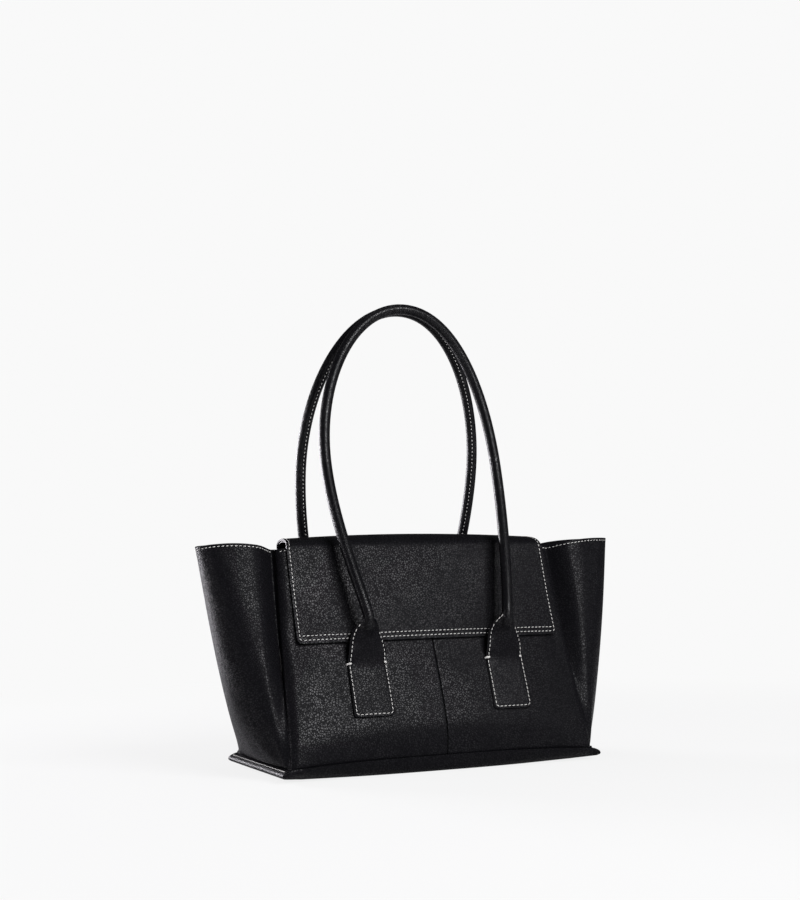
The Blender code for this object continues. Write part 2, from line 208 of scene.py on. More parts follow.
TACK_SPACING = 0.00048
TACK_RADIUS = 0.00046
TACK_PATH = ((0.0011, 0.0003), (0.0005, 0.0012), (-0.0004, 0.0029), (-0.0014, 0.0037), (-0.0030, 0.0042))
TUBE_SIDES = 6

FRONT = -1
BACK = 1
RISE = MOUTH_HEIGHT - WALL_BOTTOM
LEAN = math.atan2((BASE_DEPTH - MOUTH_DEPTH) / 2, RISE)
HINGE_HEIGHT = MOUTH_HEIGHT + CLEARANCE


def mix(low, high, share):
    return low + (high - low) * share


def evenly(low, high, steps):
    """Evenly spaced values from low to high, both included."""
    return [mix(low, high, step / steps) for step in range(steps + 1)]


def ease(value, low=0.0, high=1.0):
    share = min(1, max(0, (value - low) / (high - low)))
    return share * share * (3 - 2 * share)


def crowd(share):
    """Spacing that crowds towards both ends of a row."""
    return (1 - math.cos(math.pi * share)) / 2


def crowd_halves(share):
    """Spacing that crowds towards both ends and the middle of a row."""
    return (crowd(min(1, share * 2)) + crowd(max(0, share * 2 - 1))) / 2


def fading(distance, reach):
    """1 at no distance, fading to nothing well past this reach."""
    return math.exp(-(distance / reach) ** 2)


def around(first, second, angle):
    """The direction at this angle from the first towards the second."""
    return first * math.cos(angle) + second * math.sin(angle)


def outwards(normal, outward):
    """This direction or its opposite, whichever points to the outward side."""
    return normal if normal.dot(outward) > 0 else -normal


def in_scene(name, data):
    """A new object in the scene with this data."""
    item = bpy.data.objects.new(name, data)
    bpy.context.scene.collection.objects.link(item)
    return item


# Materials

class Link:
    """A node's socket. Arithmetic on it adds Math nodes to its tree."""

    def __init__(self, finish, socket):
        self.finish = finish
        self.socket = socket

    def maths(self, operation, first, second):
        return self.finish.node("ShaderNodeMath", {"operation": operation}, {0: first, 1: second})

    def __add__(self, other):
        return self.maths("ADD", self, other)

    def __radd__(self, other):
        return self.maths("ADD", other, self)

    def __sub__(self, other):
        return self.maths("SUBTRACT", self, other)

    def __rsub__(self, other):
        return self.maths("SUBTRACT", other, self)

    def __mul__(self, other):
        return self.maths("MULTIPLY", self, other)

    def __rmul__(self, other):
        return self.maths("MULTIPLY", other, self)


class Finish:
    """A material whose shader is fed by the nodes added to it."""

    def __init__(self, name, ior, sheen=0.5):
        self.material = bpy.data.materials.new(name)
        self.material.use_nodes = True
        self.tree = self.material.node_tree
        self.shader = self.tree.nodes["Principled BSDF"]
        self.shader.inputs["IOR"].default_value = ior
        self.shader.inputs["Specular IOR Level"].default_value = sheen
        self.place = self.node("ShaderNodeTexCoord", {}, {}, "Object")

    def node(self, kind, settings, values, output=0):
        made = self.tree.nodes.new(kind)
        for label, value in settings.items():
            setattr(made, label, value)
        for label, value in values.items():
            self.feed(made.inputs[label], value)
        return Link(self, made.outputs[output])

    def feed(self, socket, value):
        if isinstance(value, Link):
            self.tree.links.new(value.socket, socket)
        else:
            socket.default_value = value

    def drive(self, **links):
        for label, value in links.items():
            self.feed(self.shader.inputs[label.replace("_", " ").title()], value)

    def noise(self, scale, detail=3.0, place=None):
        values = {"Vector": place or self.place, "Scale": scale, "Detail": detail}
        return self.node("ShaderNodeTexNoise", {}, values)

    def blend_colours(self, share, low, high):
        settings = {"data_type": "RGBA"}
        return self.node("ShaderNodeMix", settings, {0: share, 6: (*low, 1), 7: (*high, 1)}, 2)

    def bump(self, height, distance, strength=1.0, under=None):
        values = {"Height": height, "Distance": distance, "Strength": strength}
        if under:
            values["Normal"] = under
        return self.node("ShaderNodeBump", {}, values)


def map_range(finish, value, low, high, new_low=0.0, new_high=1.0):
    settings = {"interpolation_type": "SMOOTHSTEP"}
    values = {0: value, 1: low, 2: high, 3: new_low, 4: new_high}
    return finish.node("ShaderNodeMapRange", settings, values)


PEBBLE_SCALE = 480.0
PEBBLE_WARP = 0.0026
WAX_ROUGHNESS = 0.30
LEATHER_ROUGHNESS = 0.40
# Base colours: painted shade for the creases and a painted highlight for the pebble tops
CREASE_PAINTED_SHADE = (0.0040, 0.0039, 0.0047)
PEBBLE_PAINTED_SHEEN = (0.0068, 0.0066, 0.0080)


def pebbled_leather(name, grain, depth, sheen, wax, shine=0.0, tone=1.0):
    """Black drum-dyed leather: rounded pebbles with waxed tops; its colour is painted darker in the
    creases between them as painted shade and paler on the pebble tops as a painted highlight.
    """
    finish = Finish(name, ior=1.5, sheen=sheen)
    finish.shader.inputs["Coat Roughness"].default_value = WAX_ROUGHNESS - shine
    warp = finish.node("ShaderNodeTexNoise", {}, {"Vector": finish.place, "Scale": 210.0}, 1)
    shifted = finish.node("ShaderNodeVectorMath", {"operation": "SCALE"}, {0: warp, 3: PEBBLE_WARP})
    place = finish.node("ShaderNodeVectorMath", {"operation": "ADD"}, {0: finish.place, 1: shifted})
    cells = {"Vector": place, "Scale": PEBBLE_SCALE * grain, "Randomness": 1.0}
    crease = finish.node("ShaderNodeTexVoronoi", {"feature": "DISTANCE_TO_EDGE"}, cells)
    pebble = map_range(finish, crease, 0.0, 0.30)
    top = map_range(finish, crease, 0.10, 0.26)
    patch = finish.noise(34.0, 2.0)
    strength = map_range(finish, patch, 0.32, 0.68, 0.45, 1.0)
    fine = finish.noise(1500.0, 2.0)
    height = (pebble * 0.9 + fine * 0.1) * strength
    give = finish.bump(finish.noise(16.0, 1.0), 0.0014, 0.35)
    finish.drive(normal=finish.bump(height, depth, 1.0, give))
    # The base colour blends from painted crease shade to a painted pebble-top highlight, with a little
    # random mottle on top
    share = finish.noise(90.0, 4.0) * 0.15 + pebble * 0.85
    dark = [channel * tone for channel in CREASE_PAINTED_SHADE]
    pale = [channel * tone for channel in PEBBLE_PAINTED_SHEEN]
    wear = finish.noise(55.0, 5.0)
    finish.drive(base_color=finish.blend_colours(share, dark, pale),
                 roughness=LEATHER_ROUGHNESS - shine - pebble * 0.12 + wear * 0.06,
                 coat_weight=(top * 0.95 + 0.05) * strength * wax)
    return finish.material


def mottled(name, ior, noise, colours, roughness, relief, sheen=0.5):
    """A plain finish that one fine noise mottles, roughens and raises."""
    finish = Finish(name, ior, sheen)
    speck = finish.noise(*noise)
    smooth, rougher = roughness
    finish.drive(base_color=finish.blend_colours(speck, *colours), roughness=smooth + speck * rougher,
                 normal=finish.bump(speck, *relief))
    return finish.material


def edge_paint():
    colours = (0.004, 0.004, 0.0045), (0.009, 0.009, 0.010)
    return mottled("edge paint", 1.48, (420.0, 2.0), colours, (0.34, 0.16), (0.0001, 0.5), sheen=0.10)


def waxed_thread():
    """Off-white thread, its twist running slantwise over each stitch."""
    finish = Finish("waxed thread", ior=1.5)
    split = finish.node("ShaderNodeSeparateXYZ", {}, {0: finish.place})
    across = Link(finish, split.socket.node.outputs[2])
    twist = finish.node("ShaderNodeMath", {"operation": "SINE"}, {0: (split + across) * 9000.0})
    dust = finish.noise(300.0, 3.0)
    finish.drive(base_color=finish.blend_colours(dust, (0.52, 0.51, 0.49), (0.74, 0.73, 0.70)),
                 roughness=0.62 + dust * 0.2,
                 normal=finish.bump(twist, 0.00008, 0.5))
    return finish.material


def woven_lining():
    """Plain weave: the threads of both ways are bands that multiply."""
    finish = Finish("woven lining", ior=1.45)
    threads = []
    for way in ("X", "Z"):
        settings = {"wave_type": "BANDS", "bands_direction": way}
        values = {"Vector": finish.place, "Scale": 420.0}
        threads.append(finish.node("ShaderNodeTexWave", settings, values))
    slub = finish.noise(160.0, 4.0)
    finish.drive(base_color=finish.blend_colours(slub, (0.030, 0.028, 0.027), (0.060, 0.056, 0.053)),
                 roughness=0.78 + slub * 0.16,
                 normal=finish.bump(threads[0] * threads[1], 0.00015, 0.6))
    return finish.material


def pressed_felt():
    colours = (0.11, 0.10, 0.095), (0.20, 0.19, 0.18)
    return mottled("pressed felt", 1.4, (700.0, 6.0), colours, (0.88, 0.1), (0.0004, 0.7))


def bag_board():
    colours = (0.15, 0.11, 0.075), (0.29, 0.23, 0.165)
    return mottled("bonded bag board", 1.45, (240.0, 6.0), colours, (0.7, 0.2), (0.0002, 0.5))


def cotton_cord():
    colours = (0.42, 0.38, 0.31), (0.62, 0.57, 0.48)
    return mottled("cotton cord", 1.45, (900.0, 4.0), colours, (0.85, 0.1), (0.0002, 0.6))


EDGE_PAINT = edge_paint()
BODY_FINISHES = (pebbled_leather("body leather", grain=0.95, depth=0.00030, sheen=0.025, wax=0.27),
                 EDGE_PAINT)
BASE_FINISHES = (pebbled_leather("base leather", grain=0.95, depth=0.00030, sheen=0.025, wax=0.17),
                 EDGE_PAINT)
STRAP_FINISHES = (pebbled_leather("strap leather", grain=1.0, depth=0.00024, sheen=0.025, wax=0.22),
                  EDGE_PAINT)
ROLL_FINISHES = (pebbled_leather("rolled leather", grain=1.25, depth=0.00018, sheen=0.06, wax=0.50,
                                 shine=0.08, tone=0.8), EDGE_PAINT)
THREAD = waxed_thread()
LINING_CLOTH = woven_lining()
FELT = pressed_felt()
BOARD = bag_board()
CORD = cotton_cord()


# Shapes

def flat_grid(name, columns, rows, materials):
    """A flat grid from -1 to 1 both ways, whose points are moved into place afterwards."""
    bpy.ops.object.select_all(action="DESELECT")
    bpy.ops.mesh.primitive_grid_add(x_subdivisions=columns, y_subdivisions=rows, size=2)
    item = bpy.context.object
    item.name = item.data.name = name
    for material in materials:
        item.data.materials.append(material)
    return item


def grid_piece(name, columns, rows, place, outward, materials):
    """A grid whose points go where place(across, up) says, its faces turned to the outward side."""
    item = flat_grid(name, columns, rows, materials)
    for vertex in item.data.vertices:
        vertex.co = place(ease_unit(vertex.co.x), ease_unit(vertex.co.y))
    item.data.update()
    facing = sum(face.normal.dot(outward) * face.area for face in item.data.polygons)
    if facing < 0:
        item.data.flip_normals()
    return item


def ease_unit(value):
    return min(1, max(0, (value + 1) / 2))


def thicken(item, thickness, rounded=False):
    """Give a sheet its thickness on its inner side, with a painted rim, and round it if asked."""
    apply_modifier(item, "SOLIDIFY", thickness=thickness, offset=-1, material_offset_rim=1)
    if rounded:
        apply_modifier(item, "SUBSURF", levels=1, render_levels=1)
    item.data.shade_smooth()
    return item


def apply_modifier(item, kind, **settings):
    modifier = item.modifiers.new(kind.lower(), kind)
    for label, value in settings.items():
        setattr(modifier, label, value)
    bpy.context.view_layer.objects.active = item
    bpy.ops.object.modifier_apply(modifier=modifier.name)


def smooth_by_angle(item, degrees):
    """Smooth shading that keeps the edges which turn more than this."""
    item.data.shade_smooth()
    item.select_set(True)
    bpy.ops.object.shade_smooth_by_angle(angle=math.radians(degrees))


def loft_piece(name, rings, materials, closed_ends=(True, True)):
    """Join closed rings of equal point counts into one skin, with its open ends filled."""
    count = len(rings[0])
    item = flat_grid(name, count, len(rings) - 1, materials)
    for vertex in item.data.vertices:
        ring = rings[round(ease_unit(vertex.co.y) * (len(rings) - 1))]
        vertex.co = ring[round(ease_unit(vertex.co.x) * count) % count]
    mesh = bmesh.new()
    mesh.from_mesh(item.data)
    bmesh.ops.remove_doubles(mesh, verts=mesh.verts, dist=1e-7)
    for ring, wanted in zip((rings[0], rings[-1]), closed_ends):
        if wanted:
            edges = [edge for edge in mesh.edges if edge.is_boundary
                     and min((edge.verts[0].co - point).length for point in ring) < 1e-6]
            bmesh.ops.poke(mesh, faces=bmesh.ops.edgeloop_fill(mesh, edges=edges)["faces"])
    bmesh.ops.recalc_face_normals(mesh, faces=mesh.faces)
    if all(closed_ends):
        middle = sum((vertex.co for vertex in mesh.verts), Vector()) / len(mesh.verts)
    else:
        middle = sum(rings[0] if closed_ends[1] else rings[-1], Vector()) / count
    facing = sum(face.normal.dot(face.calc_center_median() - middle) * face.calc_area()
                 for face in mesh.faces)
    if facing < 0:
        bmesh.ops.reverse_faces(mesh, faces=mesh.faces)
    mesh.to_mesh(item.data)
    mesh.free()
    smooth_by_angle(item, 50)
    return item


# Walls

def half_length(share):
    return mix(BASE_LENGTH, MOUTH_LENGTH, share) / 2


def half_depth(share):
    return mix(BASE_DEPTH, MOUTH_DEPTH, share) / 2


def half_depth_at(height):
    return BASE_DEPTH / 2 - (height - WALL_BOTTOM) * math.tan(LEAN)


def wall_height(share, wing_share):
    top = MOUTH_HEIGHT + WING_RISE * wing_share + WING_ARCH * math.sin(math.pi * wing_share)
    return mix(WALL_BOTTOM, top, share)


def middleness(x):
    """1 in the middle of a long side of the bag and 0 at its corners."""
    return 1 - min(1, abs(x) / (BASE_LENGTH / 2)) ** 3


def strip_half(share):
    return BASE_DEPTH / 2 * (1 - WING_WAIST * math.sin(math.pi * share))


def wing_fold(share):
    return mix(WING_FOLD_TOP, WING_FOLD_BASE, (1 - share) ** WING_FOLD_EASE)


@lru_cache(maxsize=None)
def wing_angle(share):
    leg = (1 - wing_fold(share)) * strip_half(share)
    arc = wing_fold(share) * strip_half(share)
    low, high = 0.0001, math.pi * 0.6
    for _ in range(40):
        middle = (low + high) / 2
        if leg * math.cos(middle) + arc * math.sin(middle) / middle > half_depth(share):
            low = middle
        else:
            high = middle
    return low


def panel_normal(face):
    return Vector((0, face * math.cos(LEAN), math.sin(LEAN)))


def rolled(distance, depth, width):
    """How far an edge has rolled inwards, this far from its seam."""
    share = min(1, max(0, distance / width))
    return depth * (1 - math.sqrt(1 - (1 - share) ** 2))


def sunken(distance):
    """A groove's depth this far from its edge: it falls steeply at first and then rises slowly."""
    return (1 - math.exp(-distance / GROOVE_EDGE)) * fading(distance, GROOVE_REACH)


def swell(x, height):
    """How far the soft wall stands out from its plane: a belly low down, drawn in to the base."""
    share = max(0, (height - WALL_BOTTOM) / RISE)
    belly = BELLY * fading(max(0, share - BELLY_SHARE), BELLY_SPREAD)
    tuck = BOTTOM_TUCK * max(0, 1 - share / BELLY_SHARE) ** BOTTOM_TUCK_CURVE
    middle = middleness(x)
    edge = BELLY_AT_CORNERS * BELLY * (1 - ease(share, 0, 0.12)) * (1 - middle)
    across = (x / (BASE_LENGTH / 2)) ** 2
    round_over = WALL_ROUNDING * across * math.sin(math.pi * min(1, share) ** 0.7)
    return belly * mix(BELLY_AT_CORNERS, 1, middle) - tuck * middle - edge - round_over


def panel_point(face, x, height, standoff=0.0):
    """A point of a wall's outer face, or this far out from it."""
    flat = Vector((x, face * half_depth_at(height), height))
    return flat + panel_normal(face) * (swell(x, height) + standoff)


def wall_point(face, x, share, inwards=0.0):
    """A point of a wall as it is sewn, its edges rolled in to their seams."""
    height = mix(WALL_BOTTOM + BOTTOM_BOW * middleness(x), MOUTH_HEIGHT, share)
    sunk = rolled(half_length(share) - abs(x), SEAM_DEPTH, SEAM_ROUND)
    sunk += rolled(share * RISE, BOTTOM_SEAM_DEPTH, BOTTOM_SEAM_ROUND)
    if face == FRONT:
        sunk += rolled(abs(x), MIDDLE_SEAM_DEPTH, MIDDLE_SEAM_ROUND) + wall_dent(x, height)
    return panel_point(face, x, height, -sunk - inwards)


def wall_dent(x, height):
    """The soft dent beside each lower corner of the flap, with a low swelling below it."""
    line = mix(DENT_LOW_X, DENT_HIGH_X, (height - DENT_LOW) / DENT_RISE)
    dent = fading(abs(x) - line, DENT_HALF_WIDTH) * fading(height - DENT_MIDDLE, DENT_HALF_HEIGHT)
    swelling = fading(abs(x) - SWELLING_X, SWELLING_REACH)
    swelling *= fading(height - SWELLING_HEIGHT, SWELLING_REACH)
    return (DENT_DEPTH * dent - DENT_SWELLING * swelling) * (1 if x < 0 else STIFFER_SIDE)


@lru_cache(maxsize=None)
def corner_shift(share):
    """From the plain corner of walls and wings to the rolled edge of the wall there."""
    corner = Vector((half_length(share), -half_depth(share), wall_height(share, 0)))
    return wall_point(FRONT, half_length(share) - CLEARANCE, share) - corner


def wing_point(side, share, across, inwards=0.0):
    """A point of a wing: across is 0 at the front corner, 0.5 at the tip, 1 at the back corner."""
    wing_share = 1 - abs(2 * across - 1)
    angle, fold, strip = wing_angle(share), wing_fold(share), strip_half(share)
    heading = angle * min(1, (1 - wing_share) / fold)
    straight = min(wing_share, 1 - fold) * strip
    radius = fold * strip / angle
    x = half_length(share) + straight * math.sin(angle)
    x += radius * (math.cos(heading) - math.cos(angle))
    y = -half_depth(share) + straight * math.cos(angle)
    y += radius * (math.sin(angle) - math.sin(heading))
    height = wall_height(share, wing_share)
    sunk = inwards + wing_dent(side, share, across)
    sunk += GROOVE_SINK * sunken(wing_share * strip) * ease(share, 0.1, 0.5)
    sunk -= WING_BOW * ease(share, 0.25, 1) * math.sin(math.pi * wing_share ** WING_BOW_PLACE) ** 2
    fade = 1 - ease(wing_share * strip, 0, GROOVE_WIDTH)
    shift = corner_shift(share)
    x += shift.x * fade - sunk * math.cos(heading)
    y += shift.y * fade + sunk * math.sin(heading)
    height += shift.z * fade
    if across > 0.5:
        y = -y
    y -= mix(WING_SWEEP_BASE, WING_SWEEP_TOP, share) * wing_share
    lean = WING_LEAN * share * wing_share ** 2
    return Vector((side * x + lean, y, height + side * lean))


def wing_dent(side, share, across):
    """Soft folds that the standing bag has taken low down on its wings."""
    low = (1 - ease(share, 0.05, 0.42)) * ease(share, 0.0, 0.06)
    fold = FOLD_DEPTH * fading(across - mix(0.10, 0.34, share / 0.4), 0.030)
    swelling = FOLD_SWELLING * fading(across - mix(0.20, 0.52, share / 0.4), 0.05)
    return (fold - swelling) * low * (1 if side < 0 else STIFFER_SIDE)


def build_walls():
    spans = (("front_leather_left", FRONT, -1, 0, "front_panel_left"),
             ("front_leather_right", FRONT, 0, 1, "front_panel_right"),
             ("back_leather", BACK, -1, 1, "back_panel"))
    for name, face, left, right, node in spans:
        def place(across, up, face=face, left=left, right=right):
            share = crowd(up)
            half = half_length(share) - CLEARANCE
            low = left * half if left else CLEARANCE
            high = right * half if right else -CLEARANCE
            return wall_point(face, mix(low, high, crowd(across)), share)
        columns = 40 if face == FRONT else 64
        panel = grid_piece(name, columns, 44, place, panel_normal(face), BODY_FINISHES)
        belongs(thicken(panel, WALL, rounded=True), "bag", "leather", node)
    for name, side, node in (("wing_left", -1, "gusset_left"), ("wing_right", 1, "gusset_right")):
        def place(across, up, side=side):
            return wing_point(side, crowd(up), crowd_halves(across))
        wing = grid_piece(name, 72, 44, place, Vector((side, 0, 0)), BODY_FINISHES)
        belongs(thicken(wing, WALL, rounded=True), "bag", "leather", node)


def belongs(item, body, slot, node):
    """Let a piece ride on its body and stand for its node, whose part is hidden; its slot is not used.
    """
    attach(item, body)
    stands_for(item, slot, node)


def stands_for(item, slot, *nodes):
    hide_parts(*nodes)


def build_facings():
    """The leather band inside the mouth, a strip on each side."""
    inwards = WALL + CLEARANCE / 3
    bottom = 1 - FACING_DEPTH / RISE
    bands = []
    for name, face in (("facing_front", FRONT), ("facing_back", BACK)):
        def place(across, up, face=face):
            share = mix(bottom, 1, crowd(up))
            half = half_length(share) - CLEARANCE
            return wall_point(face, mix(-half, half, crowd(across)), share, inwards)
        bands.append(grid_piece(name, 56, 12, place, panel_normal(face), STRAP_FINISHES))
    for name, side in (("facing_left", -1), ("facing_right", 1)):
        def place(across, up, side=side):
            return wing_point(side, mix(bottom, 1, crowd(up)), crowd_halves(across), inwards)
        bands.append(grid_piece(name, 72, 12, place, Vector((side, 0, 0)), STRAP_FINISHES))
    for band in bands:
        node = "mouth_" + band.name
        belongs(thicken(band, FACING_WALL, rounded=True), "bag", "leather", node)


def lining_ring(share, inwards):
    """Once round the inside of the bag, the cloth lying in soft folds."""
    ring = []
    for side, face in ((1, BACK), (-1, FRONT)):
        for step in range(LINING_WING_STEPS):
            along = step / LINING_WING_STEPS
            ring.append(wing_point(side, share, along if side > 0 else 1 - along, inwards))
        corner = side * half_length(share)
        for step in range(LINING_WALL_STEPS):
            x = mix(corner, -corner, step / LINING_WALL_STEPS)
            ring.append(wall_point(face, x, share, inwards))
    slack = LINING_SLACK * math.sin(math.pi * share) ** 0.5
    loose = []
    for index, point in enumerate(ring):
        fold = 0.5 + 0.5 * math.sin(index * 0.61 + 3.1 * share) * math.sin(index * 0.23 + 1.7)
        centre = Vector((0, 0, point.z))
        loose.append(point + (centre - point).normalized() * slack * fold)
    return loose


def build_lining():
    top = 1 - FACING_DEPTH / RISE - CLEARANCE / RISE
    inwards = WALL + CLEARANCE + LINING_WALL
    rings = [lining_ring(mix(0.006, top, step / (LINING_RINGS - 1)), inwards)
             for step in range(LINING_RINGS)]
    floor = []
    for shrink in (0.15, 0.5, 0.85, 0.97):
        floor.append([Vector((p.x * shrink, p.y * shrink, p.z)) for p in rings[0]])
    lining = loft_piece("bag_lining", floor + rings, (LINING_CLOTH,), (True, False))
    apply_modifier(lining, "SOLIDIFY", thickness=LINING_WALL, offset=1)
    lining.data.shade_smooth()
    belongs(lining, "bag", "lining", "lining")


# Base

LIP_PROFILE = ((-0.004, 0.0124), (-0.001, 0.0126), (0.002, 0.0120), (0.0046, 0.0111),
               (0.0070, 0.0099), (0.0086, 0.0085), (0.0091, 0.0070), (0.0086, 0.0056),
               (0.0066, 0.0044), (0.0024, 0.0035), (-0.003, 0.0027), (-0.008, 0.0017),
               (-0.014, 0.0007), (-FOOT_END, 0.0))
LIP_NOSE = 6
LIP_REACH = LIP_PROFILE[LIP_NOSE][0]
SIDE_SEAM = 2
BASE_CORNER = 0.003
CORNER_STEPS = 6
LONG_STEPS = 44
END_STEPS = 24
PAD_PROFILE = ((0.036, 0.0), (0.028, 0.06), (0.019, 0.25), (0.0105, 0.55), (0.0062, 0.85),
               (0.0056, 0.97), (0.0075, 1.0))
BOARD_PROFILE = ((0.0060, 0.0), (0.0055, 0.15), (0.0055, 0.85), (0.0060, 1.0))


def base_outline():
    """Points round the base's seam, each with its outward direction."""
    half_x, half_y = BASE_LENGTH / 2 - BASE_CORNER, BASE_DEPTH / 2 - BASE_CORNER
    points = []
    for sign_x, sign_y, start in ((1, 1, 0), (-1, 1, 90), (-1, -1, 180), (1, -1, 270)):
        centre = Vector((sign_x * half_x, sign_y * half_y, 0))
        for step in range(CORNER_STEPS + 1):
            angle = math.radians(start + 90 * step / CORNER_STEPS)
            out = Vector((math.cos(angle), math.sin(angle), 0))
            points.append((centre + out * BASE_CORNER, out))
        place, out = points[-1]
        half, steps = (half_x, LONG_STEPS) if abs(out.y) > 0.5 else (half_y, END_STEPS)
        along = Vector((-out.y, out.x, 0))
        for step in range(1, steps):
            points.append((place + along * 2 * half * crowd(step / steps), out))
    return points


def side_drawn(x):
    """How far the base's long side is drawn in with the wall above it."""
    return (BOTTOM_TUCK - BELLY) * middleness(x) * math.cos(LEAN)


def side_point(place, step):
    """A point of the base's long side: drawn in with the wall above and rounded under below."""
    middle = middleness(place.x)
    share = max(0, (step - SIDE_SEAM) / (len(LIP_PROFILE) - 1 - SIDE_SEAM))
    drawn = side_drawn(place.x)
    foot = mix(FOOT_SIDE, FOOT_CORNER, 1 - middle) - drawn
    top = WALL_BOTTOM - CLEARANCE + BOTTOM_BOW * middle
    turn = math.radians(90) * share
    under = 1 - math.cos(turn)
    inset = drawn + foot * under - SIDE_PIPING * fading(share, 0.2)
    height = top * (1 - math.sin(turn))
    if step < SIDE_SEAM:
        inset, height = drawn + (SIDE_SEAM - step) * 0.0015, top
    x = place.x * (1 - 2 * FOOT_END / BASE_LENGTH * under)
    return Vector((x, place.y - math.copysign(inset, place.y), height))


def end_point(place, step):
    """A point of the base's end: the lip, then its underside running in to the foot."""
    reach, height = LIP_PROFILE[step]
    under = (LIP_REACH - reach) / (LIP_REACH + FOOT_END) if step > LIP_NOSE else 0
    x = place.x + math.copysign(1, place.x) * reach
    return Vector((x, place.y * (1 - 2 * FOOT_CORNER / BASE_DEPTH * under), height))


def base_ring(step, outline):
    ring = []
    for place, out in outline:
        end = ease(abs(out.x), 0.15, 0.97)
        ring.append(side_point(place, step).lerp(end_point(place, step), end))
    return ring


def inner_rings(outline, node, profile):
    """Rings as high as this node, each drawn in from the base's bowed sides and its ends."""
    low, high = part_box(node)
    rings = []
    for inset, up in profile:
        ring = []
        for place, _ in outline:
            drawn = (side_drawn(place.x) + inset) * min(1, abs(place.y) / 0.05)
            x = math.copysign(max(0, abs(place.x) - inset), place.x)
            y = math.copysign(max(0, abs(place.y) - drawn), place.y)
            ring.append(Vector((x, y, mix(low.z, high.z, up))))
        rings.append(ring)
    return rings


def build_base():
    outline = base_outline()
    rings = [base_ring(step, outline) for step in range(len(LIP_PROFILE))]
    for shrink in (0.85, 0.5, 0.15):
        rings.append([Vector((p.x * shrink, p.y * shrink, 0)) for p in rings[len(LIP_PROFILE) - 1]])
    base = loft_piece("base_leather", rings, BASE_FINISHES, (False, True))
    belongs(thicken(base, BASE_WALL), "bag", "leather", "base_panel")

    pad = loft_piece("base_felt", inner_rings(outline, "base_pad", PAD_PROFILE), (FELT,))
    belongs(pad, "bag", "felt", "base_pad")

    board = loft_piece("floor_board", inner_rings(outline, "base_board", BOARD_PROFILE), (BOARD,))
    belongs(board, "bag", "fibreboard", "base_board")


# Flap

ARCH_POINTS = 97
ARCH_FROM = 0.22
ARCH_TO = 0.98
FLAP_LAP = 0.004
FLAP_BEND_REACH = 0.016


def flap_rise(x):
    return FLAP_CREST - FLAP_SAG * (x / (FLAP_WIDTH / 2)) ** 2


@lru_cache(maxsize=None)
def flap_arch(x, standoff):
    """The arch over the mouth in side view, from its back foot to its front foot."""
    back = panel_point(BACK, x, HINGE_HEIGHT, standoff)
    front = panel_point(FRONT, x, HINGE_HEIGHT, standoff)
    reach = (flap_rise(x) - FLAP_STACK + standoff) / 0.75 / math.cos(LEAN)
    up_back = Vector((0, -math.sin(LEAN), math.cos(LEAN))) * reach
    up_front = Vector((0, math.sin(LEAN), math.cos(LEAN))) * reach
    return interpolate_bezier(back, back + up_back, front + up_front, front, ARCH_POINTS)


def flap_point(x, along, standoff):
    """A point of the flap: along is below 0 on the back, 0 to 1 on the arch, then metres + 1."""
    if along < 0:
        return panel_point(BACK, x, HINGE_HEIGHT + along * math.cos(LEAN), standoff)
    if along <= 1:
        return flap_arch(round(x, 6), standoff)[round(along * (ARCH_POINTS - 1))].copy()
    down = along - 1
    height = HINGE_HEIGHT - down * math.cos(LEAN)
    between = 1 - fading(abs(x) - TAB_SPACING / 2, 0.022)
    lift = FLAP_LIFT * between * ease(down, 0.05, FLAP_DROP)
    return panel_point(FRONT, x, height, standoff + lift)


def flap_half(down, inset=0.0):
    """Half the flap's width this far down its front, with its lower corners rounded."""
    half = FLAP_WIDTH / 2 - inset
    left = FLAP_DROP - inset - down
    if left < FLAP_CORNER:
        half += math.sqrt(max(0, FLAP_CORNER ** 2 - (FLAP_CORNER - left) ** 2)) - FLAP_CORNER
    return half


def arch_half(along):
    """Half the flap's width over the mouth and behind it, where it is a little narrower."""
    return FLAP_WIDTH / 2 - FLAP_TAPER * (1 - min(1, max(0, along)))


def flap_sheet(name, front, standoff, thickness, inset, materials):
    """The flap's front, or its arch with the strip behind, as a sheet of this thickness."""
    def place_front(across, up):
        down = mix(FLAP_LAP, FLAP_DROP - inset, 1 - (1 - up) ** 1.6)
        half = flap_half(down, inset)
        return flap_point(mix(-half, half, crowd(across)), 1 + down, standoff)

    def place_arch(across, up):
        share = (up - ARCH_FROM) / (ARCH_TO - ARCH_FROM)
        half = arch_half(share) - inset
        x = mix(-half, half, crowd(across))
        if up < ARCH_FROM:
            return flap_point(x, (inset - FLAP_STRIP_DEPTH) * (1 - up / ARCH_FROM), standoff)
        if up <= ARCH_TO:
            return flap_point(x, share, standoff)
        return flap_point(x, 1 + FLAP_LAP * (up - ARCH_TO) / (1 - ARCH_TO), standoff)
    if front:
        item = grid_piece(name, 56, 40, place_front, Vector((0, -1, 0.3)), materials)
    else:
        item = grid_piece(name, 56, 50, place_arch, Vector((0, 0.2, 1)), materials)
    smooth_by_angle(thicken(item, thickness), 40)
    return item


def build_flap():
    sheets = (("flap_over_mouth", False, True, "leather", ("flap_back_strip", "flap_upper")),
              ("flap_front", True, True, "leather", ("flap_lower",)),
              ("flap_lining_over_mouth", False, False, "lining", ("flap_upper_lining",)),
              ("flap_lining_front", True, False, "lining", ("flap_lower_lining",)))
    for name, front, outer, slot, nodes in sheets:
        if outer:
            item = flap_sheet(name, front, FLAP_STACK, FLAP_LEATHER, 0, BODY_FINISHES)
        else:
            item = flap_sheet(name, front, FLAP_STACK - FLAP_LEATHER, FLAP_LINING_WALL,
                              FLAP_LINING_INSET, STRAP_FINISHES)
        if front:
            bend_down_front(item)
        else:
            bend_over_mouth(item)
        stands_for(item, slot, *nodes)


